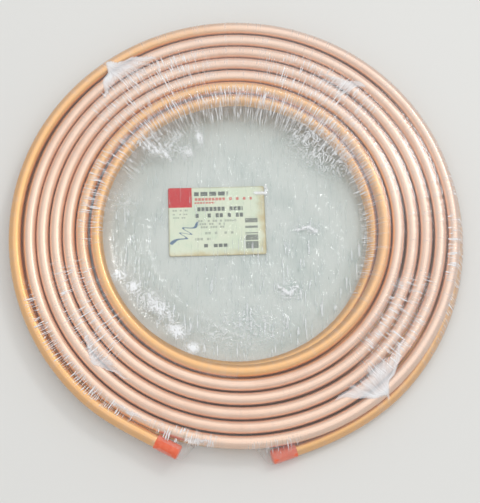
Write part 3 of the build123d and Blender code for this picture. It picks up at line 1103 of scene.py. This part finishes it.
def film_material(film):
    """Clear shrink film: see-through, mirroring more the flatter it is seen, whitish where it is bunched,
    with painted shade in its creases, crumples and bore, and with painted highlights: white glints on its
    ticks, streaks, crumples and creases, and a whiter sheen where it lies over the turns, most on the side
    towards the key lamp.

    The mirrored share is 0.045 + 0.6 f^5, in the manner of Schlick's formula, with f going from 0
    seen square to 1 seen edge on. It is the same from both sides, as it is on a thin sheet.
    """
    paint = Paint("clear_film")
    here = paint.here()
    x, y = paint.split(here, "X"), paint.split(here, "Y")
    radius = paint.maths("SQRT", x * x + y * y)

    def round_coil(turns, lengths, lift=0.0):
        """Coordinates that run round the coil and outwards, without a seam."""
        inputs = {0: x / radius * turns, 1: y / radius * turns, 2: radius * lengths + lift}
        return paint.node("ShaderNodeCombineXYZ", inputs=inputs)

    in_bore = 1 - paint.step(radius, 0.126, 0.134)
    # Painted light: outside the bore, the half of the coil towards the key lamp gets a whiter sheen on its
    # film.
    lit_side = paint.step(x * 0.6 + y * 0.8, -0.12, 0.16) * (1 - in_bore)
    fold, strain = paint.attribute("fold"), paint.attribute("strain")
    crumple, crease = paint.attribute("crumple"), paint.attribute("crease")
    pressed = paint.attribute("pressed")

    lines = paint.noise(round_coil(36, 14), 1.0, 3.0, 0.6, 0.5)
    ticks = paint.noise(round_coil(190, 70, 3.0), 1.0, 2.0, 0.5, 0.9)
    combed = paint.noise(paint.stretch(here, (430, 46, 1)), 1.0, 2.0, 0.5, 0.5)
    cloud = paint.noise(here, 22, 2.0, 0.5)
    wrinkle = paint.noise(here, 34, 3.0, 0.5, 1.4)
    crinkle = paint.noise(here, 120, 3.0, 0.55, 1.6)
    fine_ridge = 1 - abs(crinkle * 2 - 1)
    across, out = paint.attribute("fold_across"), paint.attribute("fold_out")
    streak_at = paint.node("ShaderNodeCombineXYZ", inputs={0: across * 26, 1: out * 2.2, 2: fold * 1.5})
    streaks = paint.noise(streak_at, 1.0, 3.0, 0.6, 0.4)

    height = lines * 0.35 + ticks * strain * 0.8 + streaks * fold * 1.2
    height = height + in_bore * (wrinkle * 0.9 + combed * 0.3 + fine_ridge * crumple * 1.1)
    normal = paint.bump(height, 1.0 * MM, 0.9)

    # Whitish where the film is bunched in a fan, and whiter along the fan's edges as a painted highlight.
    folded = paint.step(fold + 0.24 * (streaks - 0.5), 0.10, 0.20)
    bunched = folded * (0.16 + 1.15 * fold + 0.8 * (streaks - 0.47))
    # Painted glints: the white ticks where the film is drawn, thin white streaks combed across the bore,
    # most in its lower half, white on the crumples' ridges and white along each crease in the bore.
    drawn = paint.step(ticks + 0.06 * strain, 0.595, 0.65) * paint.step(strain, 0.12, 0.5) * 0.8
    comb_area = in_bore * (0.2 + 0.8 * paint.step(cloud - y * 1.6, 0.50, 0.66))
    comb = paint.step(combed, 0.60, 0.65) * comb_area * 0.5
    glints = paint.step(fine_ridge, 0.90, 0.97) * crumple * 0.75
    crease_glint = crease * (0.25 + 0.9 * paint.step(combed * 0.5 + fine_ridge * 0.5, 0.58, 0.70))
    # A faint haze everywhere, and a painted sheen: the film is whiter over the crests and round the coil's
    # outer and inner sides, in streaks, and whiter still on the side towards the key lamp.
    streaky = paint.step(lines, 0.46, 0.70)
    haze_and_sheen = 0.01 + pressed * (0.07 + 0.06 * streaky + lit_side * (0.09 + 0.10 * streaky)) + lit_side * 0.03
    # The whitish share: the painted sheen and painted glints, and the film where it is bunched.
    glint_and_milk_share = haze_and_sheen + paint.maths("MAXIMUM", bunched, 0.0) + drawn + comb + glints + crease_glint
    glint_and_milk_share = paint.maths("MINIMUM", glint_and_milk_share, 0.88)
    # Painted shade: the darker see-through colour is laid in patches across the bore, where the grey-green
    # tint of its two sheets is deepened, along the combed streaks, in the hollows between the crumples'
    # ridges and in dark ticks where the film is drawn.
    bore_tint_and_shade = 0.14 + 0.14 * paint.step(cloud, 0.4, 0.7)
    dim = in_bore * (bore_tint_and_shade + (0.08 + 0.20 * comb_area) * paint.step(combed, 0.50, 0.66))
    dim = dim + crumple * (0.15 + 0.6 * paint.step(1 - fine_ridge, 0.35, 0.6))
    dim = dim + strain * paint.step(ticks, 0.40, 0.34)
    dim = paint.maths("MINIMUM", dim, 1.0)

    clear = paint.node("ShaderNodeBsdfTransparent", inputs={"Color": (*film.tint, 1.0)})
    shaded = paint.node("ShaderNodeBsdfTransparent", inputs={"Color": (*film.shade, 1.0)})
    sheet = paint.node("ShaderNodeMixShader", inputs={0: dim, 1: clear, 2: shaded})
    gloss = paint.node(
        "ShaderNodeBsdfGlossy", inputs={"Color": (1, 1, 1, 1), "Roughness": 0.09, "Normal": normal}
    )
    facing = paint.node("ShaderNodeLayerWeight", inputs={"Normal": normal}, output="Facing")
    mirror = 0.045 + 0.6 * facing**5
    skin = paint.node("ShaderNodeMixShader", inputs={0: mirror, 1: sheet, 2: gloss})
    milk_and_glint = paint.node(
        "ShaderNodeBsdfPrincipled",
        inputs={"Base Color": (*film.milk_and_glint, 1.0), "Roughness": 0.3, "Normal": normal},
    )
    return paint.show(paint.node("ShaderNodeMixShader", inputs={0: glint_and_milk_share, 1: skin, 2: milk_and_glint}))


class COIL_OT_stage(bpy.types.Operator):
    """Set up the pale floor, the soft lamps and the camera"""

    bl_idname = "coil.stage"
    bl_label = "Set Stage"

    def execute(self, context):
        stage = context.scene.coil.stage
        floor_grid = np.stack(np.meshgrid(np.linspace(-6, 6, 3), np.linspace(-6, 6, 3), indexing="ij"), -1)
        level = np.full((3, 3, 1), -0.25 * MM)
        mesh = build_mesh(
            "floor",
            np.concatenate([floor_grid, level], -1),
            np.linspace(0, 1, 3),
            np.linspace(0, 1, 3),
            False,
            False,
        )
        paint = Paint("floor")
        cloud = paint.noise(paint.here(), 3.0, 3.0)
        shade = paint.mix(cloud, tuple(stage.floor), tuple(c * 0.97 for c in stage.floor))
        paint.show(
            paint.node("ShaderNodeBsdfPrincipled", inputs={"Base Color": shade, "Roughness": 0.8})
        )
        mesh.materials.append(paint.material)
        floor = bpy.data.objects.new("floor", mesh)
        context.scene.collection.objects.link(floor)
        self.lamp("soft_box", stage.soft_box, 3.3, (0.25, 0.35, 2.1))
        self.lamp("key", stage.key, 0.35, (0.9, 0.9, 1.7))
        world = bpy.data.worlds.new("room")
        context.scene.world = world
        world.use_nodes = True
        world.node_tree.nodes["Background"].inputs["Strength"].default_value = stage.sky
        world.node_tree.nodes["Background"].inputs["Color"].default_value = (1.0, 1.0, 1.0, 1.0)
        self.camera(stage)
        context.scene.view_settings.view_transform = "Standard"
        return {"FINISHED"}

    def lamp(self, name, watts, size, at):
        """A square lamp that points at the coil."""
        data = bpy.data.lights.new(name, "AREA")
        data.energy = watts
        data.size = size
        lamp = bpy.data.objects.new(name, data)
        lamp.location = at
        lamp.rotation_euler = (-Vector(at)).to_track_quat("-Z", "Y").to_euler()
        bpy.context.scene.collection.objects.link(lamp)

    def camera(self, stage):
        """The camera looks along (-sin swing cos tilt, sin tilt, -cos tilt cos swing)."""
        ct, st = math.cos(stage.camera_tilt), math.sin(stage.camera_tilt)
        cw, sw = math.cos(stage.camera_swing), math.sin(stage.camera_swing)
        ahead = Vector((-sw * ct, st, -ct * cw)).normalized()
        right = ahead.cross(Vector((0, 1, 0))).normalized()
        up = right.cross(ahead)
        data = bpy.data.cameras.new("camera")
        data.lens = stage.lens
        data.sensor_width = 36
        camera = bpy.data.objects.new("camera", data)
        eye = Vector((stage.look_x, stage.look_y, stage.look_z)) - ahead * stage.camera_distance
        turn = Matrix((right, up, -ahead)).transposed().to_4x4()
        camera.matrix_world = Matrix.Translation(eye) @ turn
        bpy.context.scene.collection.objects.link(camera)
        bpy.context.scene.camera = camera


class COIL_PT_panel(bpy.types.Panel):
    """Lists the coil's pieces"""

    bl_label = "Copper Tube Coil"
    bl_idname = "COIL_PT_panel"
    bl_space_type = "VIEW_3D"
    bl_region_type = "UI"
    bl_category = "Coil"

    def draw(self, context):
        for step in STEPS:
            self.layout.operator(step.bl_idname)


STEPS = (COIL_OT_tube, COIL_OT_caps, COIL_OT_label, COIL_OT_film, COIL_OT_stage)
GROUPS = (CoilTube, CoilCaps, CoilLabel, CoilFilm, CoilStage, CoilSettings)


def register():
    for cls in (*GROUPS, *STEPS, COIL_PT_panel):
        bpy.utils.register_class(cls)
    bpy.types.Scene.coil = bpy.props.PointerProperty(type=CoilSettings)


def unregister():
    del bpy.types.Scene.coil
    for cls in reversed((*GROUPS, *STEPS, COIL_PT_panel)):
        bpy.utils.unregister_class(cls)


def main():
    """Makes every piece and sets up the stage."""
    register()
    bpy.ops.coil.tube()
    bpy.ops.coil.caps()
    bpy.ops.coil.label()
    bpy.ops.coil.film()
    bpy.ops.coil.stage()


if __name__ == "__main__":
    main()
